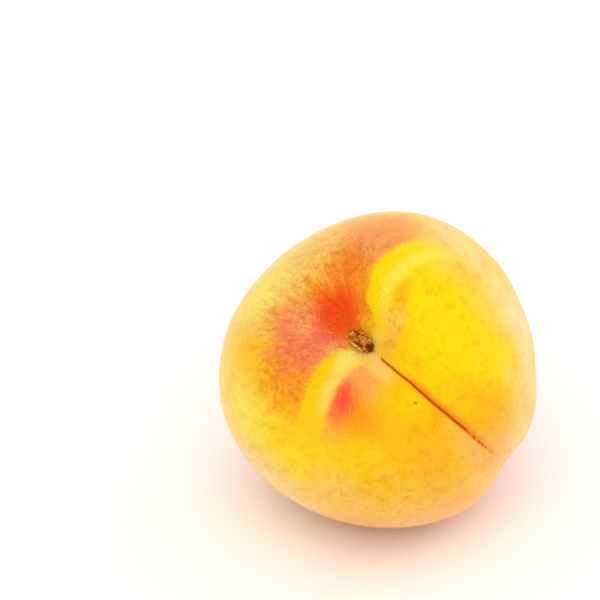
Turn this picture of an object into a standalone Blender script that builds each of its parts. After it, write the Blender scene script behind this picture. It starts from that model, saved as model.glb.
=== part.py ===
"""A yellow peach lying on its cheek, with the dry stub of its stem in the stem cavity.

Metres, +Z up. The origin is the middle of the small flat spot that the peach rests on,
and the stem end looks up and towards -Y.

The fruit has a frame of its own, with its origin in the middle of the flesh: +Z is the
stem axis, +X points to the suture and +Y to the smaller cheek. One formula gives the
distance from that origin to the skin in every direction.
"""
import math

import bmesh
import bpy
import numpy as np
from mathutils import Matrix, Vector

MM = 0.001
OBJECT_NAME = "yellow_peach"

# How the fruit lies: its stem axis leans from upright towards a heading, and turns.
STEM_LEAN = math.radians(45.9)
STEM_HEADING = math.radians(-111.5)
SUTURE_TURN = math.radians(63.1)
MIDDLE = Vector((1.1, 0.4, 38.5)) * MM

# The flesh: its radius every 45 degrees round from the suture, and its two ends.
GIRTH = np.array((38.4, 34.9, 35.9, 35.7, 36.1, 40.2, 40.2, 39.1)) * MM
STEM_END = 33.5 * MM
STEM_FULLNESS = 2.35
TIP_END = 38.0 * MM
TIP_FULLNESS = 2.1

# The stem cavity: a narrow throat in a wide dish, a little longer towards the cheeks.
THROAT_DEPTH = 4.2 * MM
THROAT_WIDTH = 5.0 * MM
DISH_DEPTH = 4.4 * MM
DISH_WIDTH = 12.0 * MM
CAVITY_STRETCH = 1.15
CAVITY_FADE = (-0.2, 0.5)

# The suture: a soft valley between the cheeks, with a sharp crease along its floor.
VALLEY_DEPTH = 2.2 * MM
VALLEY_WIDTH = 7.0 * MM
VALLEY_DEPTH_AT_STEM = 0.55
VALLEY_DEEPENS = (math.radians(40), math.radians(90))
VALLEY_FADES = (math.radians(105), math.radians(160))
CREASE_DEPTH = 1.5 * MM
CREASE_WIDTH = 1.4 * MM
CREASE_FADES = (math.radians(52), math.radians(88))
SUTURE_STARTS = 6.0 * MM

# The print of the branch that the fruit grew against, across the stem end.
PRINT_DEPTH = 0.8 * MM
PRINT_WIDTH = 3.4 * MM
PRINT_SWING = math.radians(10)
PRINT_START = (2.4 * MM, 8.0 * MM)
PRINT_END = (8.0 * MM, 24.0 * MM)

# The small point at the blossom end.
POINT_HEIGHT = 1.2 * MM
POINT_WIDTH = 3.4 * MM

# The stub of the stem, an oval peg in a socket of its own shape.
STUB_LENGTH = 6.7 * MM
STUB_WIDTH = 4.1 * MM
STUB_HEIGHT = 4.8 * MM
STUB_MIDDLE = 25.9 * MM
STUB_ROUNDING = 0.4
GAP = 0.3 * MM

# The meshes: meridians crowd to the suture, and rings crowd to both ends.
SKIN_SEGMENTS = 96
SKIN_RINGS = 54
MERIDIAN_CROWDING = 0.75
RING_CROWDING = 0.5
STUB_SEGMENTS = 32
STUB_RINGS = 14

SKIN_COLOUR = (0.93, 0.55, 0.06, 1.0)
SKIN_ROUGHNESS = 0.6
WOOD_COLOUR = (0.36, 0.14, 0.03, 1.0)
WOOD_ROUGHNESS = 0.8


def clear_scene():
    for old in list(bpy.data.objects):
        bpy.data.objects.remove(old, do_unlink=True)


def make_collection(name):
    collection = bpy.data.collections.new(name)
    bpy.context.scene.collection.children.link(collection)
    return collection


def make_material(name, colour, roughness):
    material = bpy.data.materials.new(name)
    material.use_nodes = True
    material.diffuse_color = colour
    shader = material.node_tree.nodes["Principled BSDF"]
    shader.inputs["Base Color"].default_value = colour
    shader.inputs["Roughness"].default_value = roughness
    shader.inputs["Metallic"].default_value = 0.0
    return material


def fruit_frame():
    """Matrix from the fruit's own frame to the world."""
    heading = Matrix.Rotation(STEM_HEADING, 4, "Z")
    lean = Matrix.Rotation(STEM_LEAN, 4, "Y")
    turn = Matrix.Rotation(SUTURE_TURN, 4, "Z")
    return Matrix.Translation(MIDDLE) @ heading @ lean @ turn


def bell(distance, width):
    return np.exp(-((distance / width) ** 2))


def smooth_step(value, low, high):
    part = np.clip((value - low) / (high - low), 0, 1)
    return part * part * (3 - 2 * part)


def girth_radius(turn):
    """Radius of the body at its girth, on a smooth curve through the values of GIRTH."""
    waves = np.arange(len(GIRTH) // 2 + 1)
    weights = np.where((waves == 0) | (2 * waves == len(GIRTH)), 1, 2) / len(GIRTH)
    terms = weights * np.fft.rfft(GIRTH) * np.exp(1j * turn[..., None] * waves)
    return terms.real.sum(axis=-1)


def cavity_depth(along, across):
    reach = np.hypot(along, across / CAVITY_STRETCH)
    return THROAT_DEPTH * bell(reach, THROAT_WIDTH) + DISH_DEPTH * bell(reach, DISH_WIDTH)


def suture_depth(lean, along, across):
    starts = smooth_step(along, 0, SUTURE_STARTS)
    deepens = VALLEY_DEPTH_AT_STEM + (1 - VALLEY_DEPTH_AT_STEM) * smooth_step(lean, *VALLEY_DEEPENS)
    fades = 1 - smooth_step(lean, *VALLEY_FADES)
    valley = VALLEY_DEPTH * bell(across, VALLEY_WIDTH) * deepens * fades
    crease = CREASE_DEPTH * np.exp(-np.abs(across) / CREASE_WIDTH)
    crease = crease * (1 - smooth_step(lean, *CREASE_FADES))
    return starts * (valley + crease)


def print_depth(turn, outward):
    """Depth of the branch's print, whose line bends as it passes the stem."""
    swing = PRINT_SWING * (1 + np.sin(turn))
    off_line = outward * np.cos(turn - swing)
    from_stem = np.abs(outward * np.sin(turn - swing))
    ends = smooth_step(from_stem, *PRINT_START) * (1 - smooth_step(from_stem, *PRINT_END))
    return PRINT_DEPTH * bell(off_line, PRINT_WIDTH) * ends


def skin_radius(lean, turn):
    """Distance from the middle to the skin: lean from the stem axis, turn from the suture."""
    upward = np.cos(lean)
    sideways = np.sin(lean)
    end = np.where(upward > 0, STEM_END, TIP_END)
    fullness = np.where(upward > 0, STEM_FULLNESS, TIP_FULLNESS)
    across_share = (sideways / girth_radius(turn)) ** fullness
    upward_share = (np.abs(upward) / end) ** fullness
    body = (across_share + upward_share) ** (-1 / fullness)
    outward = body * sideways
    along = outward * np.cos(turn)
    across = outward * np.sin(turn)
    hollows = cavity_depth(along, across) + print_depth(turn, outward)
    hollows = hollows * smooth_step(upward, *CAVITY_FADE)
    point = POINT_HEIGHT * bell(outward, POINT_WIDTH) * (upward < 0)
    return body - hollows - suture_depth(lean, along, across) + point


def sphere_mesh(name, segments, rings):
    mesh = bpy.data.meshes.new(name)
    form = bmesh.new()
    bmesh.ops.create_uvsphere(form, u_segments=segments, v_segments=rings, radius=1)
    form.to_mesh(mesh)
    form.free()
    mesh.shade_smooth()
    return mesh


def sphere_angles(mesh):
    """Lean from the pole and turn round it, for each vertex of a unit sphere."""
    places = np.empty(len(mesh.vertices) * 3)
    mesh.vertices.foreach_get("co", places)
    x, y, z = places.reshape(-1, 3).T
    return np.arccos(np.clip(z, -1, 1)), np.arctan2(y, x)


def place_vertices(mesh, x, y, z):
    mesh.vertices.foreach_set("co", np.stack((x, y, z), axis=1).ravel())
    mesh.update()


def add_object(name, mesh, collection, matrix):
    thing = bpy.data.objects.new(name, mesh)
    thing.matrix_world = matrix
    collection.objects.link(thing)
    return thing


def skin_mesh():
    mesh = sphere_mesh("fruit", SKIN_SEGMENTS, SKIN_RINGS)
    lean, turn = sphere_angles(mesh)
    lean = lean - RING_CROWDING / 2 * np.sin(2 * lean)
    turn = turn - MERIDIAN_CROWDING * np.sin(lean) * np.sin(turn)
    radius = skin_radius(lean, turn)
    outward = radius * np.sin(lean)
    place_vertices(mesh, outward * np.cos(turn), outward * np.sin(turn), radius * np.cos(lean))
    return mesh


def peg_mesh(name, grown):
    """The stub's squared-off oval, grown on every side, in the fruit's frame."""
    mesh = sphere_mesh(name, STUB_SEGMENTS, STUB_RINGS)
    lean, turn = sphere_angles(mesh)
    upward = np.cos(lean)
    rise = np.sign(upward) * np.abs(upward) ** STUB_ROUNDING
    spread = np.sin(lean) ** STUB_ROUNDING * (1 + 0.04 * np.sin(3 * turn + 0.6))
    length = STUB_LENGTH / 2 + grown
    width = STUB_WIDTH / 2 + grown
    height = STUB_HEIGHT / 2 + grown
    x = length * spread * np.cos(turn)
    y = width * spread * np.sin(turn)
    place_vertices(mesh, x, y, STUB_MIDDLE + height * rise)
    return mesh


def make_floor_block(cutters):
    """A block with its top in the plane that the fruit rests on."""
    side = 60 * MM
    mesh = bpy.data.meshes.new("resting_plane")
    form = bmesh.new()
    bmesh.ops.create_cube(form, size=side)
    form.to_mesh(mesh)
    form.free()
    return add_object("resting_plane", mesh, cutters, Matrix.Translation((0, 0, -side / 2)))


def cut(thing, cutter):
    cutter.hide_render = True
    cutter.display_type = "WIRE"
    modifier = thing.modifiers.new("cut " + cutter.name, "BOOLEAN")
    modifier.operation = "DIFFERENCE"
    modifier.solver = "EXACT"
    modifier.object = cutter


def make_fruit(collection, cutters):
    """Skin and flesh, one solid, with the stub's socket and the flat spot cut out."""
    fruit = add_object("fruit", skin_mesh(), collection, fruit_frame())
    fruit.data.materials.append(make_material("peach_skin", SKIN_COLOUR, SKIN_ROUGHNESS))
    socket = add_object("stub_socket", peg_mesh("stub_socket", GAP), cutters, fruit_frame())
    cut(fruit, socket)
    cut(fruit, make_floor_block(cutters))
    return fruit


def make_stem_stub(collection):
    """The dry woody end of the stem that stayed in the fruit when it was picked."""
    stub = add_object("stem_stub", peg_mesh("stem_stub", 0), collection, fruit_frame())
    stub.data.materials.append(make_material("stub_wood", WOOD_COLOUR, WOOD_ROUGHNESS))
    return stub


def main():
    clear_scene()
    collection = make_collection(OBJECT_NAME)
    cutters = make_collection(OBJECT_NAME + "_cutters")
    make_fruit(collection, cutters)
    make_stem_stub(collection)


main()
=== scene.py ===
import math

import bmesh
import bpy
import numpy as np
from mathutils import Matrix, Vector, noise


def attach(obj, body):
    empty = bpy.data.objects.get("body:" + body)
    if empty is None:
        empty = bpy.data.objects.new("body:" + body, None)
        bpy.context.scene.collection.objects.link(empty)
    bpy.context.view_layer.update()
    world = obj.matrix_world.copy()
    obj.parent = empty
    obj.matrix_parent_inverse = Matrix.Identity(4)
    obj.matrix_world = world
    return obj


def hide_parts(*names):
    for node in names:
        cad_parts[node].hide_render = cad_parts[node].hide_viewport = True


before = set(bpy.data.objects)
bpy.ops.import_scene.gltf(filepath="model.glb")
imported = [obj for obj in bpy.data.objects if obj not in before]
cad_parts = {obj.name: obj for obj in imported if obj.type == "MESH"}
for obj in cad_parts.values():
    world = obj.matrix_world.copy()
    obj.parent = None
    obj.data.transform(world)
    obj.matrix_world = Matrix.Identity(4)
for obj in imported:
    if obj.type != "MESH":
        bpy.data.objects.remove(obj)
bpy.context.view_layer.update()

MM = 0.001
SEED = 7

# How the fruit lies
STEM_LEAN = math.radians(45.9)
STEM_HEADING = math.radians(-111.5)
SUTURE_TURN = math.radians(63.1)
MIDDLE = Vector((1.1, 0.4, 38.5)) * MM

# The form of the fruit, as the solid has it
GIRTH = np.array((38.4, 34.9, 35.9, 35.7, 36.1, 40.2, 40.2, 39.1)) * MM
STEM_END = 33.5 * MM
STEM_FULLNESS = 2.35
TIP_END = 38.0 * MM
TIP_FULLNESS = 2.1
THROAT_DEPTH = 4.2 * MM
THROAT_WIDTH = 5.0 * MM
DISH_DEPTH = 4.4 * MM
DISH_WIDTH = 12.0 * MM
CAVITY_STRETCH = 1.15
CAVITY_FADE = (-0.2, 0.5)
VALLEY_DEPTH = 2.2 * MM
VALLEY_WIDTH = 7.0 * MM
VALLEY_DEPTH_AT_STEM = 0.55
VALLEY_DEEPENS = (math.radians(40), math.radians(90))
VALLEY_FADES = (math.radians(105), math.radians(160))
CREASE_DEPTH = 1.5 * MM
CREASE_WIDTH = 1.4 * MM
CREASE_FADES = (math.radians(52), math.radians(88))
SUTURE_STARTS = 6.0 * MM
PRINT_DEPTH = 0.8 * MM
PRINT_WIDTH = 3.4 * MM
PRINT_SWING = math.radians(10)
PRINT_START = (2.4 * MM, 8.0 * MM)
PRINT_END = (8.0 * MM, 24.0 * MM)
POINT_HEIGHT = 1.2 * MM
POINT_WIDTH = 3.4 * MM
STUB_LENGTH = 6.7 * MM
STUB_WIDTH = 4.1 * MM
STUB_HEIGHT = 4.8 * MM
STUB_MIDDLE = 25.9 * MM

# What only the finer skin has
SKIN_SEGMENTS = 400
SKIN_RINGS = 236
MERIDIAN_CROWDING = 0.8
RING_CROWDING = 0.5
SLIT_DEPTH = 0.12 * MM
SLIT_WIDTH = 0.25 * MM
SLIT_STARTS = (6.5 * MM, 8.5 * MM)
SLIT_FADES = (math.radians(50), math.radians(76))
SLIT_WANDER = 0.07 * MM
SLIT_WAVES = ((2.1 * MM, 1.0, 0.0), (0.8 * MM, 0.6, 1.0))
SOCKET_DEPTH = 0.6 * MM
SOCKET_EDGE = (0.88, 1.12)
PLEAT_DEPTH = 0.05 * MM
PLEATS = 23
PLEAT_SWING = 2
PLEAT_SWINGS = 3
PLEATS_AT = 1.3
PLEATS_REACH = 0.5
LUMPS = ((11 * MM, 0.22 * MM), (4 * MM, 0.05 * MM))
SEAM = 1e-6

# The stub: how its sides round off to the top, how its rim waves, and what is ragged or rough on it,
# as a noise with stretch, size, offset and height
STUB_SEGMENTS = 180
STUB_RINGS = 120
STUB_SPREAD = 0.7
STUB_SHOULDER = (5, 0.3)
RIM_WAVE = 0.04
RIM_WAVES = 3
RIM_WAVE_START = 0.6
RIM_LUMPS = ((1, 1, 1), 0.35, 2.0, 0.09)
STUB_RIDGES = ((0.35, 2.4, 0), 0.9 * MM, 0.0, 0.3)
STUB_GRAIN = ((1, 1, 0), 0.35 * MM, 3.0, 0.16)
STUB_RAGS = ((1, 1, 1), 0.22, 5.0, 0.3)
RAGGED_FROM = (0.7, 0.95)
TORN_FROM = (0.3, 0.8)
TORN_SIDES = 0.3

# The torn face in millimetres: a hollow, then pits as depth, place, stretch, slant and width,
# then grooves along it as depth, place, swing, waves, width and where they end
TORN_OVAL = (3.35, 2.05)
HOLLOW_DEPTH = 0.8
HOLLOW_EDGE = (0.4, 0.95)
TORN_PITS = (
    (1.3, (2.75, 0.1), (1.0, 1.1), 0.0, 0.85),
    (0.9, (-1.9, 0.9), (0.8, 1.0), 0.0, 0.6),
    (-0.9, (-2.45, 0.3), (1.0, 0.45), 0.3, 0.24),
)
TORN_GROOVES = (
    (0.5, -1.05, 0.1, 2.0, 0.28, (2.2, 1.0)),
    (-0.25, -1.6, 0.15, 1.7, 0.3, (2.0, 0.8)),
)

# The splinters round the rim of the stub
FIBRES = 34
FIBRE_JITTER = 0.4
FIBRE_REACH = (0.72, 0.97)
FIBRE_LENGTH = (0.5 * MM, 1.5 * MM)
FIBRE_WIDTH = (0.05 * MM, 0.12 * MM)
FIBRE_TIP = 0.25
FIBRE_SIDES = 5
FIBRE_LEAN = 0.35
FIBRE_FOOT = 0.62

# The fuzz: single fine hairs that lean every way, and stay off the crease, the stub and the floor
FUZZ_PIECES = 3
FUZZ_HAIRS = 120000
FUZZ_LENGTH = (0.2 * MM, 0.42 * MM)
FUZZ_BASE = 0.024 * MM
FUZZ_LEAN = (math.radians(0), math.radians(16))
CREASE_BARE = 0.4 * MM
STUB_BARE = 0.62
FLOOR_BARE = 0.7 * MM

# The camera: a square frame, with the fruit's middle at this pixel and so many pixels to a metre there
FRAME_PIXELS = 600
FOCAL_PIXELS = 2800
SENSOR = 36.0
PIXELS_PER_METRE = 4158
MIDDLE_AT = (388, 364)
CAMERA_PITCH = math.radians(33)
CLIP_START = 0.01


def fruit_frame():
    """Matrix from the fruit's own frame to the world."""
    heading = Matrix.Rotation(STEM_HEADING, 4, "Z")
    lean = Matrix.Rotation(STEM_LEAN, 4, "Y")
    turn = Matrix.Rotation(SUTURE_TURN, 4, "Z")
    return Matrix.Translation(MIDDLE) @ heading @ lean @ turn


def bell(distance, width):
    return np.exp(-((distance / width) ** 2))


def smooth_step(value, low, high):
    part = np.clip((value - low) / (high - low), 0, 1)
    return part * part * (3 - 2 * part)


def girth_radius(turn):
    """Radius of the body at its girth, on a smooth curve through the values of GIRTH."""
    waves = np.arange(len(GIRTH) // 2 + 1)
    weights = np.where((waves == 0) | (2 * waves == len(GIRTH)), 1, 2) / len(GIRTH)
    terms = weights * np.fft.rfft(GIRTH) * np.exp(1j * turn[..., None] * waves)
    return terms.real.sum(axis=-1)


def cavity_depth(along, across):
    reach = np.hypot(along, across / CAVITY_STRETCH)
    return THROAT_DEPTH * bell(reach, THROAT_WIDTH) + DISH_DEPTH * bell(reach, DISH_WIDTH)


def off_crease(along, across):
    """Distance from the crease's line, which wanders a little."""
    wander = sum(share * np.sin(along / length + start) for length, share, start in SLIT_WAVES)
    return across - SLIT_WANDER * wander


def suture_depth(lean, along, across):
    starts = smooth_step(along, 0, SUTURE_STARTS)
    deepens = VALLEY_DEPTH_AT_STEM + (1 - VALLEY_DEPTH_AT_STEM) * smooth_step(lean, *VALLEY_DEEPENS)
    fades = 1 - smooth_step(lean, *VALLEY_FADES)
    valley = VALLEY_DEPTH * bell(across, VALLEY_WIDTH) * deepens * fades
    crease = CREASE_DEPTH * np.exp(-np.abs(across) / CREASE_WIDTH)
    crease = crease * (1 - smooth_step(lean, *CREASE_FADES))
    slit = SLIT_DEPTH * np.exp(-np.abs(off_crease(along, across)) / SLIT_WIDTH)
    slit = slit * (1 - smooth_step(lean, *SLIT_FADES)) * smooth_step(along, *SLIT_STARTS)
    return starts * (valley + crease + slit)


def print_depth(turn, outward):
    """Depth of the branch's print, whose line bends as it passes the stem."""
    swing = PRINT_SWING * (1 + np.sin(turn))
    off_line = outward * np.cos(turn - swing)
    from_stem = np.abs(outward * np.sin(turn - swing))
    ends = smooth_step(from_stem, *PRINT_START) * (1 - smooth_step(from_stem, *PRINT_END))
    return PRINT_DEPTH * bell(off_line, PRINT_WIDTH) * ends


def socket_depth(along, across):
    """The socket round the stub, with the pleats that the skin makes at its rim."""
    round_stub = np.hypot(along / (STUB_LENGTH / 2), across / (STUB_WIDTH / 2))
    socket = SOCKET_DEPTH * (1 - smooth_step(round_stub, *SOCKET_EDGE))
    turn = np.arctan2(across, along)
    pleats = np.sin(PLEATS * turn + PLEAT_SWING * np.sin(PLEAT_SWINGS * turn))
    return socket + PLEAT_DEPTH * pleats * bell(round_stub - PLEATS_AT, PLEATS_REACH)


def skin_radius(lean, turn):
    """Distance from the middle to the skin: lean from the stem axis, turn from the suture."""
    upward = np.cos(lean)
    sideways = np.sin(lean)
    end = np.where(upward > 0, STEM_END, TIP_END)
    fullness = np.where(upward > 0, STEM_FULLNESS, TIP_FULLNESS)
    across_share = (sideways / girth_radius(turn)) ** fullness
    upward_share = (np.abs(upward) / end) ** fullness
    body = (across_share + upward_share) ** (-1 / fullness)
    outward = body * sideways
    along = outward * np.cos(turn)
    across = outward * np.sin(turn)
    hollows = cavity_depth(along, across) + print_depth(turn, outward)
    hollows = hollows * smooth_step(upward, *CAVITY_FADE)
    hollows = hollows + socket_depth(along, across) * (upward > 0)
    point = POINT_HEIGHT * bell(outward, POINT_WIDTH) * (upward < 0)
    return body - hollows - suture_depth(lean, along, across) + point


def sphere_mesh(name, segments, rings):
    """A unit sphere: a grid wrapped round it, closed where its edges meet."""
    mesh = bpy.data.meshes.new(name)
    form = bmesh.new()
    bmesh.ops.create_grid(form, x_segments=segments, y_segments=rings, size=1)
    for vertex in form.verts:
        turn = math.pi * vertex.co.x
        lean = math.pi / 2 * (1 - vertex.co.y)
        vertex.co = (math.sin(lean) * math.cos(turn), math.sin(lean) * math.sin(turn), math.cos(lean))
    bmesh.ops.remove_doubles(form, verts=form.verts, dist=SEAM)
    form.to_mesh(mesh)
    form.free()
    mesh.shade_smooth()
    return mesh


def vertex_places(mesh):
    places = np.empty(len(mesh.vertices) * 3)
    mesh.vertices.foreach_get("co", places)
    return places.reshape(-1, 3)


def place_vertices(mesh, places):
    mesh.vertices.foreach_set("co", places.ravel())
    mesh.update()


def sphere_angles(mesh):
    """Lean from the pole and turn round it, for each vertex of a unit sphere."""
    x, y, z = vertex_places(mesh).T
    return np.arccos(np.clip(z, -1, 1)), np.arctan2(y, x)


def from_angles(radius, lean, turn):
    outward = radius * np.sin(lean)
    return np.stack((outward * np.cos(turn), outward * np.sin(turn), radius * np.cos(lean)), axis=1)


def noise_at(places, size, offset=0.0):
    """Smooth noise from about -1 to 1 at each place, with lumps of this size."""
    shift = Vector((offset, offset, offset))
    return np.array([noise.noise(Vector(place) / size + shift) for place in places])


def add_piece(name, mesh, matrix):
    piece = bpy.data.objects.new(name, mesh)
    piece.matrix_world = matrix
    bpy.context.scene.collection.objects.link(piece)
    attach(piece, "root")
    return piece


def turn_to_world(pieces):
    """Turns the meshes out of the fruit's frame, so that their boxes fit the fruit as it lies."""
    for piece in pieces:
        piece.data.transform(piece.matrix_world)
        piece.matrix_world = Matrix.Identity(4)


def keep_above_floor(places):
    """Flattens what would reach below the floor: the flat spot that the fruit rests on."""
    matrix = np.array(fruit_frame())
    height = places @ matrix[2, :3] + matrix[2, 3]
    return places - np.minimum(height, 0)[:, None] * matrix[2, :3]


def make_skin(material):
    mesh = sphere_mesh("fruit_skin", SKIN_SEGMENTS, SKIN_RINGS)
    lean, turn = sphere_angles(mesh)
    lean = lean - RING_CROWDING / 2 * np.sin(2 * lean)
    turn = turn - MERIDIAN_CROWDING * np.sin(lean) * np.sin(turn)
    radius = skin_radius(lean, turn)
    places = from_angles(radius, lean, turn)
    for size, height in LUMPS:
        radius = radius + height * noise_at(places, size)
    places = from_angles(radius, lean, turn)
    line = mesh.attributes.new("off_crease", "FLOAT", "POINT")
    line.data.foreach_set("value", off_crease(places[:, 0], places[:, 1]) / MM)
    place_vertices(mesh, keep_above_floor(places))
    mesh.materials.append(material)
    skin = add_piece("fruit_skin", mesh, fruit_frame())
    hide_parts("fruit")
    return skin


def make_fuzz(skin, material):
    """Hairs of one triangle each, rooted at random places on the skin."""
    mesh = skin.data
    mesh.calc_loop_triangles()
    corners = np.empty(len(mesh.loop_triangles) * 3, dtype=np.int32)
    mesh.loop_triangles.foreach_get("vertices", corners)
    corners = corners.reshape(-1, 3)
    places = vertex_places(mesh)
    normals = np.empty(len(mesh.vertices) * 3)
    mesh.vertex_normals.foreach_get("vector", normals)
    normals = normals.reshape(-1, 3)
    first, second, third = (places[corners[:, k]] for k in range(3))
    areas = np.linalg.norm(np.cross(second - first, third - first), axis=1)
    chances = np.cumsum(areas) / areas.sum()
    draw = np.random.default_rng(SEED)
    floor_row = np.array(fruit_frame())[2]
    pieces = []
    for number in range(1, FUZZ_PIECES + 1):
        chosen = corners[np.searchsorted(chances, draw.random(FUZZ_HAIRS))]
        shares = draw.dirichlet((1, 1, 1), FUZZ_HAIRS)
        roots = np.einsum("nk,nkc->nc", shares, places[chosen])
        upright = np.einsum("nk,nkc->nc", shares, normals[chosen])
        upright /= np.linalg.norm(upright, axis=1)[:, None]
        clear = roots @ floor_row[:3] + floor_row[3] > FLOOR_BARE
        round_stub = np.hypot(roots[:, 0] / STUB_LENGTH, roots[:, 1] / STUB_WIDTH)
        clear &= (round_stub > STUB_BARE) | (roots[:, 2] < 0)
        by_crease = np.abs(off_crease(roots[:, 0], roots[:, 1])) < CREASE_BARE
        clear &= ~(by_crease & (roots[:, 0] > SLIT_STARTS[0]) & (roots[:, 2] > 0))
        roots, upright = roots[clear], upright[clear]
        side = np.cross(upright, draw.normal(size=upright.shape))
        side /= np.linalg.norm(side, axis=1)[:, None]
        lean = draw.uniform(*FUZZ_LEAN, len(roots))[:, None]
        way = np.cos(lean) * upright + np.sin(lean) * np.cross(side, upright)
        length = draw.uniform(*FUZZ_LENGTH, len(roots))[:, None]
        side *= FUZZ_BASE / 2
        hairs = np.stack((roots - side, roots + side, roots + way * length), axis=1)
        name = "fuzz_%d" % number
        fuzz = bpy.data.meshes.new(name)
        faces = np.arange(len(roots) * 3).reshape(-1, 3)
        fuzz.from_pydata(hairs.reshape(-1, 3), (), faces)
        fuzz.materials.append(material)
        pieces.append(add_piece(name, fuzz, fruit_frame()))
    return pieces


def torn_depth(x, y):
    """Depth of the torn face of the stub below its top, in millimetres, at a place in millimetres."""
    inward = np.hypot(x / TORN_OVAL[0], y / TORN_OVAL[1])
    depth = HOLLOW_DEPTH * (1 - smooth_step(inward, *HOLLOW_EDGE))
    for deep, (x_at, y_at), (x_stretch, y_stretch), slant, width in TORN_PITS:
        off = np.hypot(x_stretch * (x - x_at - slant * y), y_stretch * (y - y_at))
        depth = depth + deep * bell(off, width)
    for deep, y_at, swing, waves, width, ends in TORN_GROOVES:
        off = y - y_at - swing * np.sin(waves * x)
        depth = depth + deep * bell(off, width) * smooth_step(x, *ends)
    return depth


def roughness_at(places, stretch, size, offset, height):
    """Noise of this height, with its places drawn together by a share for each axis."""
    return height * noise_at(places * stretch, size, offset)


def make_stub(material):
    """The stub, torn off across its fibres: a ragged rim round a hollow with ridges along it."""
    mesh = sphere_mesh("stub_wood", STUB_SEGMENTS, STUB_RINGS)
    lean, turn = sphere_angles(mesh)
    share = 1 - np.abs(lean / (math.pi / 2) - 1)
    reach = share ** STUB_SPREAD
    flatness, roundness = STUB_SHOULDER
    rise = np.sign(math.pi / 2 - lean) * (1 - np.minimum(reach, 1) ** flatness) ** roundness
    ring = np.stack((np.cos(turn), np.sin(turn), 0 * turn), axis=1)
    rim = 1 + RIM_WAVE * np.sin(RIM_WAVES * turn + RIM_WAVE_START)
    rim = rim + roughness_at(ring, *RIM_LUMPS)
    x = STUB_LENGTH / 2 * reach * rim * np.cos(turn)
    y = STUB_WIDTH / 2 * reach * rim * np.sin(turn)
    places = np.stack((x, y, STUB_MIDDLE + STUB_HEIGHT / 2 * rise), axis=1)
    ragged = roughness_at(ring, *STUB_RAGS) * smooth_step(reach, *RAGGED_FROM)
    drop = torn_depth(x / MM, y / MM) - ragged
    for form in (STUB_RIDGES, STUB_GRAIN):
        drop = drop - roughness_at(places, *form)
    top = smooth_step(rise, *TORN_FROM)
    places[:, 2] -= MM * drop * top
    torn = mesh.attributes.new("torn", "FLOAT", "POINT")
    torn.data.foreach_set("value", np.where(top > 0, drop, TORN_SIDES))
    place_vertices(mesh, places)
    mesh.materials.append(material)
    stub = add_piece("stub_wood", mesh, fruit_frame())
    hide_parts("stem_stub")
    return stub


def make_fibres(material):
    """Splinters that stand up round the torn rim of the stub."""
    draw = np.random.default_rng(SEED)
    form = bmesh.new()
    for number in range(FIBRES):
        turn = 2 * math.pi * (number + draw.uniform(-FIBRE_JITTER, FIBRE_JITTER)) / FIBRES
        reach = draw.uniform(*FIBRE_REACH)
        length = draw.uniform(*FIBRE_LENGTH)
        width = draw.uniform(*FIBRE_WIDTH)
        root = Vector((STUB_LENGTH / 2 * reach * math.cos(turn), STUB_WIDTH / 2 * reach * math.sin(turn), 0))
        root.z = STUB_MIDDLE + STUB_HEIGHT / 2 * FIBRE_FOOT
        lean = Vector((draw.normal(0, FIBRE_LEAN), draw.normal(0, FIBRE_LEAN), 1)).normalized()
        cone = bmesh.ops.create_cone(
            form, segments=FIBRE_SIDES, radius1=width, radius2=width * FIBRE_TIP, depth=length, cap_ends=True)
        spin = Vector((0, 0, 1)).rotation_difference(lean).to_matrix().to_4x4()
        matrix = Matrix.Translation(root + lean * length / 2) @ spin
        bmesh.ops.transform(form, matrix=matrix, verts=cone["verts"])
    mesh = bpy.data.meshes.new("stub_fibres")
    form.to_mesh(mesh)
    form.free()
    mesh.materials.append(material)
    return add_piece("stub_fibres", mesh, fruit_frame())


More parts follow.
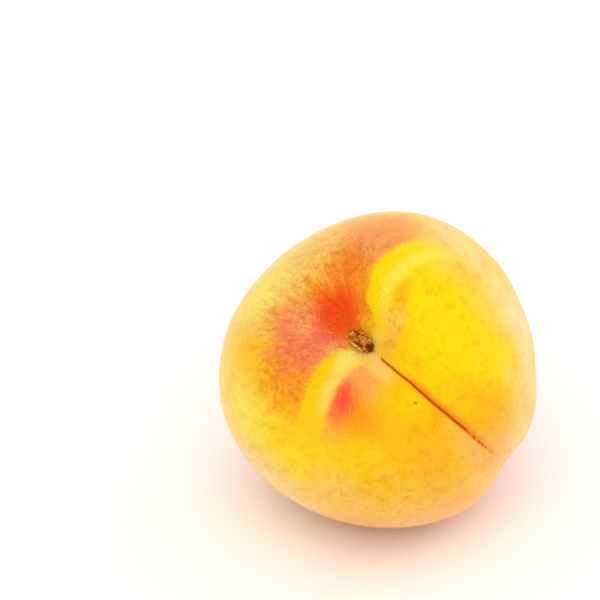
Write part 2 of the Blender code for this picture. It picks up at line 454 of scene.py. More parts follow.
class Tree:
    """Short forms for the nodes of one material."""

    def __init__(self, name):
        self.material = bpy.data.materials.new(name)
        self.material.use_nodes = True
        self.nodes = self.material.node_tree.nodes
        self.links = self.material.node_tree.links
        self.shader = self.nodes["Principled BSDF"]

    def put(self, value, socket):
        """Sets a socket to a constant, or links another node's output to it."""
        if isinstance(value, bpy.types.NodeSocket):
            self.links.new(value, socket)
        else:
            socket.default_value = value

    def math(self, operation, first, second=0.0, third=0.0):
        node = self.nodes.new("ShaderNodeMath")
        node.operation = operation
        for value, socket in zip((first, second, third), node.inputs):
            self.put(value, socket)
        return node.outputs[0]

    def times(self, *factors):
        """The product of all these values."""
        product = factors[0]
        for factor in factors[1:]:
            product = self.math("MULTIPLY", product, factor)
        return product

    def attribute(self, name):
        """A value that the mesh keeps for each vertex."""
        node = self.nodes.new("ShaderNodeAttribute")
        node.attribute_name = name
        return node.outputs["Fac"]

    def vector(self, operation, first, second=(0, 0, 0), scale=1.0):
        node = self.nodes.new("ShaderNodeVectorMath")
        node.operation = operation
        self.put(first, node.inputs[0])
        if operation == "SCALE":
            self.put(scale, node.inputs["Scale"])
        else:
            self.put(second, node.inputs[1])
        return node.outputs["Value" if operation in ("LENGTH", "DOT_PRODUCT") else "Vector"]

    def split(self, vector):
        node = self.nodes.new("ShaderNodeSeparateXYZ")
        self.put(vector, node.inputs[0])
        return node.outputs[:3]

    def join(self, x=0.0, y=0.0, z=0.0):
        node = self.nodes.new("ShaderNodeCombineXYZ")
        for value, socket in zip((x, y, z), node.inputs):
            self.put(value, socket)
        return node.outputs[0]

    def step(self, value, low, high, kind="SMOOTHSTEP"):
        """0 at low and 1 at high, and smooth between them; low may be the larger."""
        node = self.nodes.new("ShaderNodeMapRange")
        node.interpolation_type = kind
        self.put(value, node.inputs["Value"])
        self.put(low, node.inputs["From Min"])
        self.put(high, node.inputs["From Max"])
        return node.outputs["Result"]

    def noise(self, vector, size, detail=2.0, roughness=0.5, colour=False):
        """Noise from 0 to 1, with features of this size in the vector's units."""
        node = self.nodes.new("ShaderNodeTexNoise")
        self.put(vector, node.inputs["Vector"])
        node.inputs["Scale"].default_value = 1 / size
        node.inputs["Detail"].default_value = detail
        node.inputs["Roughness"].default_value = roughness
        return node.outputs["Color" if colour else "Fac"]

    def mix(self, share, first, second, blend="MIX"):
        node = self.nodes.new("ShaderNodeMix")
        node.data_type = "RGBA"
        node.blend_type = blend
        self.put(share, node.inputs[0])
        self.put(first, node.inputs[6])
        self.put(second, node.inputs[7])
        return node.outputs[2]

    def curve(self, value, low, high, points):
        """A smooth curve through (value, result) points, with values from low to high."""
        results = [point[1] for point in points]
        least, most = min(results), max(results)
        node = self.nodes.new("ShaderNodeFloatCurve")
        handles = node.mapping.curves[0].points
        while len(handles) < len(points):
            handles.new(0.5, 0.5)
        for handle, (place, result) in zip(handles, points):
            handle.location = ((place - low) / (high - low), (result - least) / (most - least))
        node.mapping.update()
        self.put(self.step(value, low, high, "LINEAR"), node.inputs["Value"])
        return self.math("MULTIPLY_ADD", node.outputs[0], most - least, least)

    def fruit_place(self):
        """The place on the piece in the fruit's own frame, in metres."""
        world = self.nodes.new("ShaderNodeTexCoord").outputs["Object"]
        offset = self.vector("SUBTRACT", world, tuple(MIDDLE))
        axes = fruit_frame().to_3x3().transposed()
        return self.join(*(self.vector("DOT_PRODUCT", offset, tuple(axis)) for axis in axes))

    def bump(self, height, strength, distance):
        """Lets a height roughen the surface that the light meets."""
        node = self.nodes.new("ShaderNodeBump")
        node.inputs["Strength"].default_value = strength
        node.inputs["Distance"].default_value = distance
        self.put(height, node.inputs["Height"])
        self.put(node.outputs[0], self.shader.inputs["Normal"])


def rgb(red, green, blue):
    """A linear colour from the 0 to 255 values that a screen shows."""
    shares = (np.array((red, green, blue)) / 255 + 0.055) / 1.055
    return (*np.maximum(shares, 0.0) ** 2.4, 1.0)


# Colours of the skin
YELLOW = rgb(250, 205, 0)
SUN = rgb(250, 212, 0)
GOLD = rgb(249, 198, 6)
AMBER = rgb(248, 178, 16)
LEMON = rgb(249, 196, 8)
LEMON_BRIGHT = rgb(250, 214, 30)
LEMON_PALE = rgb(252, 228, 100)
BUTTER = rgb(251, 224, 106)
CREAM = rgb(251, 196, 110)
# STRAW and PALE are painted sheen: the pale haze of the fuzz towards the rims, over the skin's own pale
# yellow
STRAW = rgb(252, 224, 110)
PALE = rgb(252, 230, 168)
# Painted light: the sheen of the fuzz towards the rims, and lifted shade beside the stub
PAINTED_LIGHT_CREAM = rgb(251, 214, 132)
# Painted sheen: the pinkish haze of the fuzz towards the rims
PAINTED_SHEEN_PINK = rgb(252, 222, 186)
# The ridge's pale colours, partly painted highlight; the first also lifts the shade beside the stub
RIDGE_PALE = rgb(252, 204, 96)
RIDGE_SUN = rgb(252, 222, 84)
APRICOT = rgb(249, 184, 90)
PEACH = rgb(249, 198, 108)
TAN = rgb(240, 156, 60)
ORANGE = rgb(246, 140, 26)
SALMON = rgb(245, 150, 88)
MELON = rgb(246, 156, 84)
CORAL = rgb(245, 116, 88)
ROSE = rgb(243, 106, 88)
DEEP_BLUSH = rgb(246, 100, 44)
FLAME = rgb(246, 112, 24)
RED = rgb(238, 46, 14)
PATCH_RED = rgb(241, 74, 54)
EMBER = rgb(226, 98, 18)
# Partly blush, partly painted shade on the right wall of the stem cavity
BLUSH_SHADE_BROWN = rgb(224, 130, 20)
SPECK_BROWN = rgb(110, 70, 10)
# Painted shade in the crease: a brown line along it, and orange shade with reflected light on its upper wall
CREASE_LINE_SHADE = rgb(194, 74, 0)
CREASE_WALL_SHADE = rgb(250, 130, 0)
WOOD_OCHRE = rgb(206, 126, 24)
WOOD_BROWN = rgb(158, 78, 4)
WOOD_UMBER = rgb(104, 44, 2)
WOOD_CREAM = rgb(252, 204, 112)
WOOD_MAROON = rgb(98, 38, 4)

# What a darker fleck leaves of the colour under it
OCHRE_SHADE = (0.89, 0.58, 0.45, 1.0)

# The map of the stem end: degrees of lean towards the suture (first) and the smaller cheek (second).
# Each patch is an oval on it: colour, strength, centre, reach, turn in degrees, and the share of its
# reach that is full.
# The pale cream and pinkish patches towards the edges of this map are painted sheen, the haze of the fuzz at
# grazing angles, partly over the skin's own pale yellow
GROUND_PATCHES = (
    (SUN, 1.0, (26, 37), (50, 35), 0, 0.4),
    (LEMON_BRIGHT, 0.9, (0, -52), (36, 20), 0, 0.4),
    (LEMON_PALE, 0.8, (-32, -53), (33, 28), 0, 0.3),
    (PAINTED_LIGHT_CREAM, 0.9, (0, -76), (50, 24), 0, 0.2),
    (AMBER, 0.7, (60, 10), (26, 18), 0, 0.1),
    (AMBER, 0.7, (52, -12), (28, 22), 0, 0.1),
    (APRICOT, 0.8, (68, -4), (22, 10), 0, 0.1),
    (APRICOT, 0.8, (90, -46), (50, 46), 0, 0.3),
    (APRICOT, 0.6, (84, 4), (24, 24), 0, 0.2),
    (ORANGE, 0.8, (52, -80), (38, 26), 0, 0.2),
    (STRAW, 0.9, (-62, -8), (34, 66), 0, 0.4),
    (PAINTED_LIGHT_CREAM, 0.9, (-4, 61), (34, 25), 0, 0.1),
    (PALE, 0.72, (50, 66), (46, 26), 0, 0.0),
    (APRICOT, 0.4, (40, -62), (30, 14), 0, 0.3),
    (PAINTED_LIGHT_CREAM, 0.5, (82, 22), (26, 16), 0, 0.2),
    (PAINTED_LIGHT_CREAM, 0.35, (84, -17), (20, 9), 0, 0.2),
    (PAINTED_LIGHT_CREAM, 0.4, (64, 34), (18, 12), 0, 0.1),
    (PALE, 0.5, (74, 46), (24, 20), 0, 0.1),
    (CREAM, 0.5, (32, -54), (22, 14), 0, 0.2),
    (PAINTED_LIGHT_CREAM, 0.5, (-62, 6), (14, 46), 0, 0.0),
    (PAINTED_SHEEN_PINK, 0.36, (40, 60), (46, 18), 0, 0.0),
    (PAINTED_SHEEN_PINK, 0.35, (96, 14), (22, 26), 0, 0.0),
    (PALE, 0.45, (-10, -71), (24, 14), 0, 0.0),
    (LEMON_PALE, 0.35, (30, -68), (20, 14), 0, 0.0),
    (AMBER, 0.5, (65, 19), (20, 11), 0, 0.0),
    (TAN, 0.25, (56, -22), (14, 22), 0, 0.0),
    (MELON, 0.3, (80, -4), (22, 9), 0, 0.0),
    (AMBER, 0.3, (14, 51), (24, 11), 0, 0.0),
    (AMBER, 0.25, (4, -44), (24, 10), 0, 0.0),
    (PAINTED_SHEEN_PINK, 0.25, (64, 54), (22, 15), 0, 0.0),
    (CREAM, 0.3, (34, 45), (28, 9), 0, 0.0),
    (AMBER, 0.35, (52, -68), (22, 12), 0, 0.0),
)
BLUSH_PATCHES = (
    (PEACH, 0.7, (-38, 20), (26, 56), 0, 0.3),
    (AMBER, 0.6, (-22, -30), (28, 18), 0, 0.3),
    (ORANGE, 0.55, (-12, -26), (13, 13), 0, 0.0),
    (SALMON, 0.9, (-22, 37), (20, 28), 10, 0.35),
    (SALMON, 0.4, (-36, 38), (18, 18), 0, 0.2),
    (ORANGE, 0.9, (-20, 18), (17, 17), 0, 0.3),
    (CORAL, 0.9, (-17, -14), (24, 18), -20, 0.3),
    (FLAME, 0.8, (-23, 4), (12, 9), 0, 0.2),
    (ORANGE, 0.8, (-8, 13), (9, 8), -30, 0.3),
    (SALMON, 0.7, (-22, -5), (9, 8), 30, 0.1),
    (ORANGE, 0.6, (-7, -33), (16, 13), 0, 0.3),
    (RED, 0.3, (-22, 19), (10, 18), 25, 0.1),
    (ROSE, 0.7, (-12, -8), (13, 6), 20, 0.2),
    (RED, 0.92, (-13, 2), (16, 13), 0, 0.3),
    (RED, 0.65, (-15, 10), (10, 7), -35, 0.2),
    (FLAME, 0.5, (-4, 7), (6, 5), -35, 0.2),
    (CREAM, 0.6, (-4, -11), (6, 4), 0, 0.2),
    (PEACH, 0.4, (-20, -11), (8, 5), 0, 0.1),
    (AMBER, 0.5, (-30, 5), (7, 7), 0, 0.1),
    (LEMON_PALE, 0.6, (-46, -8), (14, 18), 0, 0.2),
    (PEACH, 0.5, (-34, -22), (9, 8), 0, 0.1),
)
# The tan and amber patches beside the band's upper end, on the right wall of the stem cavity, are partly
# blush and partly painted shade
FRONT_PATCHES = (
    (CREAM, 0.4, (6, 14), (9, 12), 25, 0.3),
    (AMBER, 0.8, (2, 24), (6, 12), 25, 0.2),
    (AMBER, 0.5, (1, 13), (5, 6), 0, 0.2),
    (TAN, 0.6, (11, 8), (9, 6), -45, 0.2),
    (AMBER, 0.8, (30, -20), (20, 12), 0, 0.2),
    (TAN, 0.7, (12, -33), (14, 10), 0, 0.2),
    (MELON, 0.9, (12, -12.5), (15, 10), 0, 0.3),
    (ORANGE, 0.8, (21, -23), (13, 12), 0, 0.1),
    (PATCH_RED, 0.92, (11.5, -22), (10, 10), 0, 0.2),
    (PATCH_RED, 0.5, (15, -27), (7, 8), 0, 0.2),
    (CREAM, 0.8, (14, -3.5), (13, 6), 0, 0.2),
)
# Where marks lie, as ovals of the same form without colour and strength: streaks over the blush,
# small spots over its lower end and by the stub, mottling over its upper edge and over the ground,
# and smudges and fine streaks on the front. The smudges, on the right wall of the stem cavity, are partly
# blush and partly painted shade.
STREAKED = ((-24, 8), (34, 52), 10, 0.5)
STREAKS_END = (58, 30)
STREAKS_BROKEN = (0.56, 0.42)
FRECKLED = ((-11, -28), (21, 19), 0, 0.3)
FLECKED = ((-6, 10), (9, 6), -30, 0.3)
FLUSHED = ((-44, 30), (18, 34), 0, 0.3)
DAPPLED = (((80, -5), (26, 15), 0, 0.3), ((60, -42), (44, 34), 0, 0.3))
# Smudges on the right wall of the stem cavity: partly blush, partly painted shade
BLUSH_SHADE_SMUDGE = ((8, 15), (5.5, 17), 33, 0.3)
WARMED = ((13, -17), (15, 17), 0, 0.3)
# Pale skin round the stub: partly its own pale colour, partly painted light that lifts the shade of the
# socket
STUB_SURROUND = (
    (BUTTER, 0.85, (1.5, -9), (8, 9), 0, 0.2),
    (CREAM, 0.8, (4.5, -4.5), (4.5, 4.5), 0, 0.2),
    (RIDGE_PALE, 0.5, (5, 6), (5, 7), 0, 0.1),
    (PAINTED_LIGHT_CREAM, 0.4, (8.5, -1), (5, 5), 0, 0.1),
)
STUB_GOLD = (AMBER, 0.9, (-1.5, 8), (6, 5), -20, 0.3)
SPECK = (SPECK_BROWN, 0.7, (35.2, -4.8), (1.0, 0.8), 30, 0.3)

# The branch shaded a band across the map. Its sharp edge runs through these (second, first) points.
SHADE_EDGE = (
    (-60, 14), (-50, 9), (-44, 5), (-38, 2.5), (-31, -1), (-24, -4), (-17, -5.2), (-10, -3.8), (-7, -1.5),
    (-4, -1), (3, -1), (6, 1), (9, 1.5), (11, 0.5), (13, -3), (15, -8), (18, -10.5), (21, -12), (25, -14.2),
    (31, -14.8), (37, -14), (43, -12.5), (48, -10), (53, -4), (60, 6),
)
EDGE_SPAN = (-60, 60)
EDGE_WANDER = 3.0
# How wide the band is along it, as (second, width) points
SHADE_WIDTH = ((-60, 11), (-8, 11), (2, 9), (6, 8), (12, 8), (16, 12), (28, 13.5), (60, 14))
# How pale the ridge inside the band is along it, partly painted highlight, as (second, share) points
RIDGE_SHARE = (
    (-60, 0), (-36, 0), (-30, 0.4), (-22, 0.85), (-14, 0.6), (-8, 0.3), (0, 0), (12, 0.1), (20, 0.4),
    (27, 0.62), (44, 0.62), (52, 0.4), (60, 0),
)
RIDGE_AT = 9.5
RIDGE_EDGE = (5, 0.5)
BAND_ENDS = ((-50, -32), (60, 40))
BAND_EDGE = (1.2, -1.2)
BAND_SHARE = 0.95
BAND_TURNS_SUNNY = (4, 30)
# The front begins at the band's sharp edge, and softly beyond its two ends
SHARP_EDGE = (-2.1, 2.1)
SOFT_EDGE = (-16, 14)
SOFT_ENDS = ((44, 64), (-34, -56))

# The blush on the side that the fruit lies on: towards this way in the world, fading at these angles
UNDER_BLUSH_WAY = Vector((0.1, 0.5, -0.85))
UNDER_BLUSH_FADES = (math.radians(64), math.radians(34))
UNDER_BLUSH_SHARE = 0.92
UNDER_RED_FADES = (math.radians(52), math.radians(20))
UNDER_RED_SHARE = 0.7
UNDER_WANDER = 0.5

# How near the stem axis the map starts, which keeps it from dividing by nothing
POLE = 0.001
# Noises on the skin: size in millimetres, detail and roughness
SKIN_NOISES = {
    "cloud": (14, 3, 0.5),
    "blotch": (4.5, 3, 0.6),
    "mottle": (1.8, 4, 0.6),
    "small": (1.2, 3, 0.65),
    "grain": (0.4, 3, 0.6),
}
# Streaks along lines from the stem: how many, how fast they change along a line, and detail
SKIN_STREAKS = {
    "broad": (7.0, 0.06, 4),
    "middle": (17.0, 0.1, 3),
    "fine": (34.0, 0.17, 3),
}
STREAK_ROUGHNESS = 0.65
# How far the streaks pull the blush in and out, and how far places on the map are shifted
STREAK_PULL = (0.6, 0.7)
SHIFT_NOISE = (6, 2)
SHIFT_REACH = 5.0

# Marks: where they lie, the noise that they follow, the values at which they start and are full,
# strength and colour
CLOUD_MARKS = (
    ("all", "cloud", 0.4, 0.8, 0.7, AMBER),
    ("all", "cloud", 0.5, 0.2, 0.8, YELLOW),
)
GROUND_MARKS = (
    ("dappled", "blotch", 0.52, 0.36, 0.4, APRICOT),
    ("dappled", "mottle", 0.5, 0.68, 0.3, TAN),
)
STREAK_MARKS = (
    ("flushed", "mottle", 0.42, 0.62, 0.5, SALMON),
    ("streaked", "middle", 0.5, 0.7, 0.45, EMBER),
    ("broken", "middle", 0.46, 0.3, 0.3, PEACH),
    ("streaked", "fine", 0.48, 0.7, 0.28, EMBER),
    ("streaked", "mottle", 0.5, 0.68, 0.52, EMBER),
    ("broken", "fine", 0.42, 0.3, 0.16, MELON),
)
SPOT_MARKS = (
    ("spotted", "small", 0.47, 0.62, 0.52, EMBER),
    ("spotted", "mottle", 0.48, 0.36, 0.2, MELON),
    ("flecked", "mottle", 0.46, 0.36, 0.45, AMBER),
)
FRONT_MARKS = (
    ("blush_and_shade", "small", 0.45, 0.6, 0.5, BLUSH_SHADE_BROWN),
    ("warmed", "fine", 0.5, 0.7, 0.38, PATCH_RED),
    ("warmed", "fine", 0.46, 0.3, 0.26, CREAM),
)
# Ochre flecks over the ground: the noise, the values at which they start and are full, and strength
OCHRE_FLECKS = (("blotch", 0.42, 0.72, 0.3), ("mottle", 0.45, 0.75, 0.36), ("fine", 0.5, 0.7, 0.12))

# Painted shade: a darker, warmer ring round the stub's socket, in half sizes of the stub, on the stem's half
# of the fruit only
SOCKET_SHADE_RING = (1.5, 1.05)
SOCKET_SHADE_SHARE = 0.12
STEM_HALF = (0.0, 0.1)

# The crease, in painted shade: orange shade with reflected light on its upper wall, and a brown line of shade
# along it, with millimetres off and along it and degrees of lean. The line ends raggedly, and is broken into
# dashes from some way along it.
WALL_SHADE_SIDES = ((2.3, 0.1), (-0.9, 0.0))
WALL_SHADE_STARTS = (10, 20)
WALL_SHADE_FADES = (82, 62)
WALL_SHADE_LEFT = 0.25
WALL_SHADE_SHARE = 0.9
LINE_WIDTH = (0.45, 0.1)
LINE_STARTS = (6.2, 7.4)
LINE_ENDS = (92, 80)
LINE_RAGGED = 22
DASHED_FROM = (33, 29)
DASHES = (0.44, 0.54)
LINE_SHARE = 0.9

# Fine dark grain, stronger in the blush, where it has hairlines too
GRAIN = (0.4, 0.75)
GRAIN_DEPTH = 0.13
GRAIN_MORE_IN_BLUSH = 0.12
HAIRLINES = (0.45, 0.7)
HAIRLINE_DEPTH = 0.06
BRIGHTNESS = 0.9
RED_BRIGHTNESS = 0.915

# The wood of the stub: its noises with stretch, size, detail and roughness, and its marks, with painted
# highlight on the crests of the torn face and painted shade in its grooves and pits
WOOD_NOISES = {
    "fibres": ((0.5, 3.4, 0.5), 0.8, 4, 0.65),
    "blots": ((1, 1, 1), 0.7, 3, 0.5),
    "flecks": ((1, 2, 1), 0.45, 3, 0.5),
}
CREST_HIGHLIGHT_BLOTS = (0.62, 0.5)
WOOD_MARKS = (
    ("all", "fibres", 0.35, 0.65, 1.0, WOOD_OCHRE),
    ("all", "blots", 0.54, 0.66, 1.0, WOOD_UMBER),
    ("all", "flecks", 0.56, 0.68, 0.5, WOOD_CREAM),
    # Painted highlight: cream on the crests of the torn face, within the paler blots
    ("light", "torn", 0.15, -0.25, 0.9, WOOD_CREAM),
    # Painted shade: umber in the deep grooves and pits of the torn face
    ("all", "torn", 0.7, 1.25, 1.0, WOOD_UMBER),
    ("dark_end", "off_end", 1.3, 0.8, 1.0, WOOD_MAROON),
)
DARK_END_AT = (2.95, 0.3, 0)
DARK_END_FLECKS = (0.58, 0.42)
DARK_END_SHARES = (0.5, 0.42)

# The floor and the lights: name, place, size and power
FLOOR_SIZE = 3.0
FLOOR_DROP = 0.1 * MM
LIGHTS = (
    ("overhead", (-0.05, -0.58, 0.74), 0.8, 3.6),
    ("back_right", (0.6, 0.45, 0.3), 0.5, 1.2),
)


def patch(tree, spot, centre, reach, turn, full):
    """1 in the middle of an oval on the map, falling to 0 at its reach."""
    offset = tree.vector("SUBTRACT", spot, (*centre, 0))
    if turn:
        node = tree.nodes.new("ShaderNodeVectorRotate")
        node.rotation_type = "Z_AXIS"
        node.inputs["Angle"].default_value = -math.radians(turn)
        tree.put(offset, node.inputs["Vector"])
        offset = node.outputs[0]
    distance = tree.vector("LENGTH", tree.vector("MULTIPLY", offset, (1 / reach[0], 1 / reach[1], 0)))
    return tree.step(distance, 1.0, full)


def add_patches(tree, colour, spot, patches):
    for paint, strength, centre, reach, turn, full in patches:
        cover = tree.math("MULTIPLY", patch(tree, spot, centre, reach, turn, full), strength)
        colour = tree.mix(cover, colour, paint)
    return colour


def add_marks(tree, colour, values, covers, marks):
    """Paints marks where a value has passed a level, each within its cover."""
    for cover, value, low, high, strength, paint in marks:
        share = tree.times(tree.step(values[value], low, high), covers[cover], strength)
        colour = tree.mix(share, colour, paint)
    return colour


class SkinMap:
    """The map of the stem end, with the noises, streaks and covers that the colours follow."""

    def __init__(self, tree):
        coordinates = tree.fruit_place()
        self.place = tree.vector("SCALE", coordinates, scale=1 / MM)
        self.along, self.across, _ = tree.split(self.place)
        self.way = tree.vector("NORMALIZE", coordinates)
        x, y, self.upward = tree.split(self.way)
        flat = tree.math("MAXIMUM", tree.vector("LENGTH", tree.join(x, y)), POLE)
        self.lean = tree.times(tree.math("ARCTAN2", flat, self.upward), math.degrees(1))
        self.side = tree.join(tree.math("DIVIDE", x, flat), tree.math("DIVIDE", y, flat))
        self.spot = tree.vector("SCALE", self.side, scale=self.lean)
        self.first, self.second, _ = tree.split(self.spot)
        self.noises = {name: tree.noise(self.place, *form) for name, form in SKIN_NOISES.items()}
        for name, form in SKIN_STREAKS.items():
            self.noises[name] = self.streaks(tree, *form)

        # The map pulled in and out along the streaks, and the map with its places shifted a little
        pull = tree.math("MULTIPLY_ADD", self.noises["broad"], *STREAK_PULL)
        self.streaked = tree.vector("SCALE", self.spot, scale=pull)
        shift = tree.vector("SUBTRACT", tree.noise(self.place, *SHIFT_NOISE, colour=True), (0.5, 0.5, 0.5))
        self.loose = tree.vector("ADD", self.spot, tree.vector("SCALE", shift, scale=SHIFT_REACH))
        self.covers = self.make_covers(tree)

    def streaks(self, tree, count, stretch, detail):
        """Noise drawn out along lines from the stem."""
        outward = tree.join(0, 0, tree.times(self.lean, stretch))
        lines = tree.vector("ADD", tree.vector("SCALE", self.side, scale=count), outward)
        return tree.noise(lines, 1.0, detail, STREAK_ROUGHNESS)

    def make_covers(self, tree):
        streaked = tree.times(patch(tree, self.spot, *STREAKED), tree.step(self.lean, *STREAKS_END))
        broken = tree.times(tree.step(self.noises["mottle"], *STREAKS_BROKEN), streaked)
        flecked = patch(tree, self.loose, *FLECKED)
        return {
            "all": 1.0,
            "dappled": tree.math("MAXIMUM", *(patch(tree, self.loose, *oval) for oval in DAPPLED)),
            "flushed": patch(tree, self.loose, *FLUSHED),
            "streaked": streaked,
            "broken": broken,
            "flecked": flecked,
            "spotted": tree.math("MAXIMUM", patch(tree, self.loose, *FRECKLED), flecked),
            "blush_and_shade": patch(tree, self.loose, *BLUSH_SHADE_SMUDGE),
            "warmed": patch(tree, self.loose, *WARMED),
        }


def ground_colour(tree, skin_map):
    """Gold with clouds and patches, and an orange-red blush on the side that the fruit lies on."""
    noises, covers = skin_map.noises, skin_map.covers
    colour = add_marks(tree, GOLD, noises, covers, CLOUD_MARKS)
    colour = add_patches(tree, colour, skin_map.loose, GROUND_PATCHES)
    colour = add_marks(tree, colour, noises, covers, GROUND_MARKS)
    under = fruit_frame().to_3x3().inverted() @ UNDER_BLUSH_WAY.normalized()
    angle = tree.math("ARCCOSINE", tree.vector("DOT_PRODUCT", skin_map.way, tuple(under)))
    wander = tree.math("MULTIPLY_ADD", noises["cloud"], UNDER_WANDER, -UNDER_WANDER / 2)
    angle = tree.math("ADD", angle, wander)
    blush = tree.times(tree.step(angle, *UNDER_BLUSH_FADES), UNDER_BLUSH_SHARE)
    colour = tree.mix(blush, colour, DEEP_BLUSH)
    red = tree.times(tree.step(angle, *UNDER_RED_FADES), UNDER_RED_SHARE)
    colour = tree.mix(red, colour, RED)
    mottled = 0.0
    for name, low, high, strength in OCHRE_FLECKS:
        mottled = tree.math("ADD", mottled, tree.times(tree.step(noises[name], low, high), strength))
    return tree.mix(mottled, colour, tree.mix(1.0, colour, OCHRE_SHADE, "MULTIPLY"))


def back_colour(tree, skin_map, ground):
    """The blushed back of the stem end, with streaks and small spots."""
    noises, covers = skin_map.noises, skin_map.covers
    colour = add_patches(tree, ground, skin_map.streaked, BLUSH_PATCHES)
    colour = add_marks(tree, colour, noises, covers, STREAK_MARKS)
    colour = add_patches(tree, colour, skin_map.spot, (STUB_GOLD,))
    return add_marks(tree, colour, noises, covers, SPOT_MARKS)


def front_colour(tree, skin_map, ground, off_edge):
    """The front of the stem end: patches, the band that the branch's shade left with its pale ridge, partly
    painted highlight, and painted light round the stub.
    """
    second = skin_map.second
    colour = add_patches(tree, ground, skin_map.loose, FRONT_PATCHES)
    colour = add_patches(tree, colour, skin_map.spot, (SPECK,))
    colour = add_marks(tree, colour, skin_map.noises, skin_map.covers, FRONT_MARKS)
    past_band = tree.math("SUBTRACT", off_edge, tree.curve(second, *EDGE_SPAN, SHADE_WIDTH))
    ends = [tree.step(second, *end) for end in BAND_ENDS]
    shade = tree.times(tree.step(past_band, *BAND_EDGE), *ends, BAND_SHARE)
    sunny = tree.step(second, *BAND_TURNS_SUNNY)
    colour = tree.mix(shade, colour, tree.mix(sunny, LEMON, SUN))
    # The pale ridge inside the band: partly the skin's pale colour, partly painted highlight where light
    # catches the edge of the print
    off_ridge = tree.math("ABSOLUTE", tree.math("SUBTRACT", off_edge, RIDGE_AT))
    ridge = tree.times(tree.step(off_ridge, *RIDGE_EDGE), tree.curve(second, *EDGE_SPAN, RIDGE_SHARE))
    colour = tree.mix(ridge, colour, tree.mix(sunny, RIDGE_PALE, RIDGE_SUN))
    return add_patches(tree, colour, skin_map.loose, STUB_SURROUND)


def stem_end_colour(tree, skin_map):
    """Back and front, on both sides of the edge that the branch's shade left."""
    edge = tree.curve(skin_map.second, *EDGE_SPAN, SHADE_EDGE)
    wander = tree.math("MULTIPLY_ADD", skin_map.noises["mottle"], EDGE_WANDER, -EDGE_WANDER / 2)
    off_edge = tree.math("ADD", tree.math("SUBTRACT", skin_map.first, edge), wander)
    ground = ground_colour(tree, skin_map)
    back = back_colour(tree, skin_map, ground)
    front = front_colour(tree, skin_map, ground, off_edge)
    away = tree.math("MAXIMUM", *(tree.step(skin_map.second, *end) for end in SOFT_ENDS))
    share = tree.mix(away, tree.step(off_edge, *SHARP_EDGE), tree.step(off_edge, *SOFT_EDGE))
    return tree.mix(share, back, front)


def add_socket_shade(tree, skin_map, colour):
    # Painted shade: a tan ring where the socket round the stub is in shade
    round_stub = tree.vector("LENGTH", tree.join(
        tree.math("DIVIDE", skin_map.along, STUB_LENGTH / 2 / MM),
        tree.math("DIVIDE", skin_map.across, STUB_WIDTH / 2 / MM)))
    stem_half = tree.step(skin_map.upward, *STEM_HALF)
    share = tree.times(tree.step(round_stub, *SOCKET_SHADE_RING), stem_half, SOCKET_SHADE_SHARE)
    return tree.mix(share, colour, TAN)


def add_crease_shade(tree, skin_map, colour):
    # Painted shade: the orange upper wall of the crease, then the brown line along it
    off = tree.attribute("off_crease")
    along, lean, mottle = skin_map.along, skin_map.lean, skin_map.noises["mottle"]
    sides = [tree.step(off, *side) for side in WALL_SHADE_SIDES]
    fades = tree.math("MULTIPLY_ADD", tree.step(lean, *WALL_SHADE_FADES), 1 - WALL_SHADE_LEFT, WALL_SHADE_LEFT)
    wall_shade = tree.times(*sides, tree.step(along, *WALL_SHADE_STARTS), fades, WALL_SHADE_SHARE)
    colour = tree.mix(wall_shade, colour, CREASE_WALL_SHADE)
    ends = tree.step(tree.math("ADD", lean, tree.times(mottle, LINE_RAGGED)), *LINE_ENDS)
    dashes = tree.math("MAXIMUM", tree.step(along, *DASHED_FROM), tree.step(mottle, *DASHES))
    line = tree.step(tree.math("ABSOLUTE", off), *LINE_WIDTH)
    line = tree.times(line, tree.step(along, *LINE_STARTS), ends, dashes, LINE_SHARE)
    return tree.mix(line, colour, CREASE_LINE_SHADE)


def add_grain(tree, skin_map, colour):
    noises, covers = skin_map.noises, skin_map.covers
    blushed = tree.math("MAXIMUM", covers["streaked"], covers["spotted"])
    depth = tree.math("MULTIPLY_ADD", blushed, GRAIN_MORE_IN_BLUSH, GRAIN_DEPTH)
    darker = tree.times(tree.step(noises["grain"], *GRAIN), depth)
    hairlines = tree.times(tree.step(noises["fine"], *HAIRLINES), covers["streaked"], HAIRLINE_DEPTH)
    shading = tree.math("SUBTRACT", BRIGHTNESS, tree.math("ADD", darker, hairlines))
    red_shading = tree.times(shading, RED_BRIGHTNESS)
    return tree.mix(1.0, colour, tree.join(red_shading, shading, shading), "MULTIPLY")


def skin_material():
    tree = Tree("peach_skin_fuzzy")
    skin_map = SkinMap(tree)
    colour = stem_end_colour(tree, skin_map)
    colour = add_socket_shade(tree, skin_map, colour)
    colour = add_crease_shade(tree, skin_map, colour)
    colour = add_grain(tree, skin_map, colour)
    shader = tree.shader
    tree.put(colour, shader.inputs["Base Color"])
    shader.inputs["Roughness"].default_value = 0.7
    shader.inputs["Specular IOR Level"].default_value = 0.02
    shader.inputs["Subsurface Weight"].default_value = 0.15
    shader.inputs["Subsurface Radius"].default_value = (1.0, 0.45, 0.12)
    shader.inputs["Subsurface Scale"].default_value = 2.0 * MM
    shader.inputs["Sheen Weight"].default_value = 0.78
    shader.inputs["Sheen Roughness"].default_value = 0.35
    shader.inputs["Sheen Tint"].default_value = (1.0, 0.84, 0.76, 1.0)
    tree.bump(skin_map.noises["grain"], strength=0.3, distance=0.06 * MM)
    return tree.material


def fuzz_material():
    tree = Tree("peach_fuzz")
    shader = tree.shader
    shader.inputs["Base Color"].default_value = (0.96, 0.66, 0.2, 1.0)
    shader.inputs["Roughness"].default_value = 0.7
    shader.inputs["Specular IOR Level"].default_value = 0.2
    return tree.material


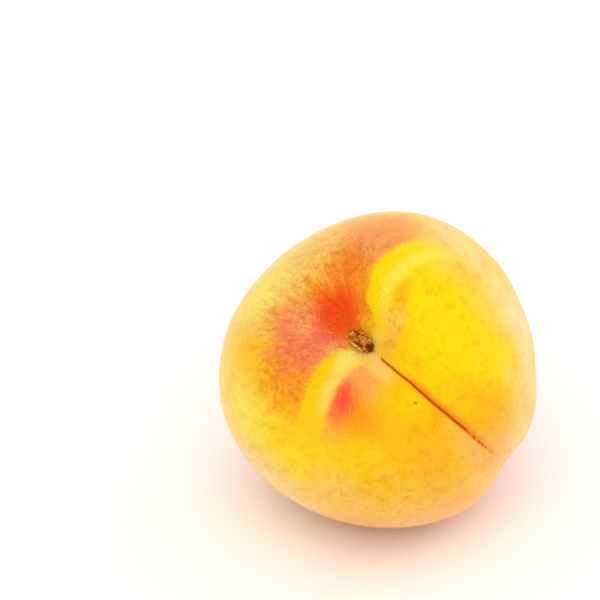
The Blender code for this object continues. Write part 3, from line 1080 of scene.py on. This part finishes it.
def wood_material():
    tree = Tree("stub_wood_torn")
    place = tree.vector("SCALE", tree.fruit_place(), scale=1 / MM)
    values = {}
    for name, (stretch, *form) in WOOD_NOISES.items():
        values[name] = tree.noise(tree.vector("MULTIPLY", place, stretch), *form)
    values["torn"] = tree.attribute("torn")
    x, y, _ = tree.split(place)
    values["off_end"] = tree.vector("LENGTH", tree.vector("SUBTRACT", tree.join(x, y), DARK_END_AT))
    end_flecks = tree.step(values["flecks"], *DARK_END_FLECKS)
    covers = {
        "all": 1.0,
        "light": tree.step(values["blots"], *CREST_HIGHLIGHT_BLOTS),
        "dark_end": tree.math("MULTIPLY_ADD", end_flecks, *DARK_END_SHARES),
    }
    colour = add_marks(tree, WOOD_BROWN, values, covers, WOOD_MARKS)
    tree.put(colour, tree.shader.inputs["Base Color"])
    tree.shader.inputs["Roughness"].default_value = 0.75
    tree.shader.inputs["Specular IOR Level"].default_value = 0.1
    tree.bump(values["fibres"], strength=0.5, distance=0.08 * MM)
    return tree.material


def make_floor():
    mesh = bpy.data.meshes.new("floor")
    form = bmesh.new()
    bmesh.ops.create_grid(form, x_segments=1, y_segments=1, size=FLOOR_SIZE)
    form.to_mesh(mesh)
    form.free()
    floor = bpy.data.objects.new("floor", mesh)
    floor.location = (0, 0, -FLOOR_DROP)
    tree = Tree("floor_white")
    tree.shader.inputs["Base Color"].default_value = (0.94, 0.86, 0.83, 1.0)
    tree.shader.inputs["Roughness"].default_value = 0.9
    mesh.materials.append(tree.material)
    bpy.context.scene.collection.objects.link(floor)


def make_light(name, place, size, power):
    """A square soft light that faces the fruit."""
    lamp = bpy.data.lights.new(name, "AREA")
    lamp.size = size
    lamp.energy = power
    light = bpy.data.objects.new(name, lamp)
    light.location = place
    towards = MIDDLE - Vector(place)
    light.rotation_euler = towards.to_track_quat("-Z", "Y").to_euler()
    bpy.context.scene.collection.objects.link(light)


def make_studio():
    world = bpy.data.worlds.new("studio")
    world.use_nodes = True
    world.node_tree.nodes["Background"].inputs["Color"].default_value = (1, 1, 1, 1)
    world.node_tree.nodes["Background"].inputs["Strength"].default_value = 1.0
    bpy.context.scene.world = world
    bpy.context.scene.view_settings.view_transform = "Standard"
    for light in LIGHTS:
        make_light(*light)


def make_camera():
    """The camera looks along +Y and down, with the fruit's middle at its place in the frame."""
    forward = Vector((0, math.cos(CAMERA_PITCH), -math.sin(CAMERA_PITCH)))
    upward = Vector((0, math.sin(CAMERA_PITCH), math.cos(CAMERA_PITCH)))
    rightward = Vector((1, 0, 0))
    off_x = (MIDDLE_AT[0] - FRAME_PIXELS / 2) / FOCAL_PIXELS
    off_y = (FRAME_PIXELS / 2 - MIDDLE_AT[1]) / FOCAL_PIXELS
    depth = FOCAL_PIXELS / PIXELS_PER_METRE
    lens = bpy.data.cameras.new("camera")
    lens.sensor_width = SENSOR
    lens.lens = SENSOR * FOCAL_PIXELS / FRAME_PIXELS
    lens.clip_start = CLIP_START
    camera = bpy.data.objects.new("camera", lens)
    camera.location = MIDDLE - depth * (forward + off_x * rightward + off_y * upward)
    camera.rotation_euler = (math.pi / 2 - CAMERA_PITCH, 0, 0)
    bpy.context.scene.collection.objects.link(camera)
    bpy.context.scene.camera = camera


make_camera()
skin = make_skin(skin_material())
wood = wood_material()
stub = make_stub(wood)
fibres = make_fibres(wood)
fuzz = make_fuzz(skin, fuzz_material())
turn_to_world([skin, stub, fibres, *fuzz])
make_floor()
make_studio()
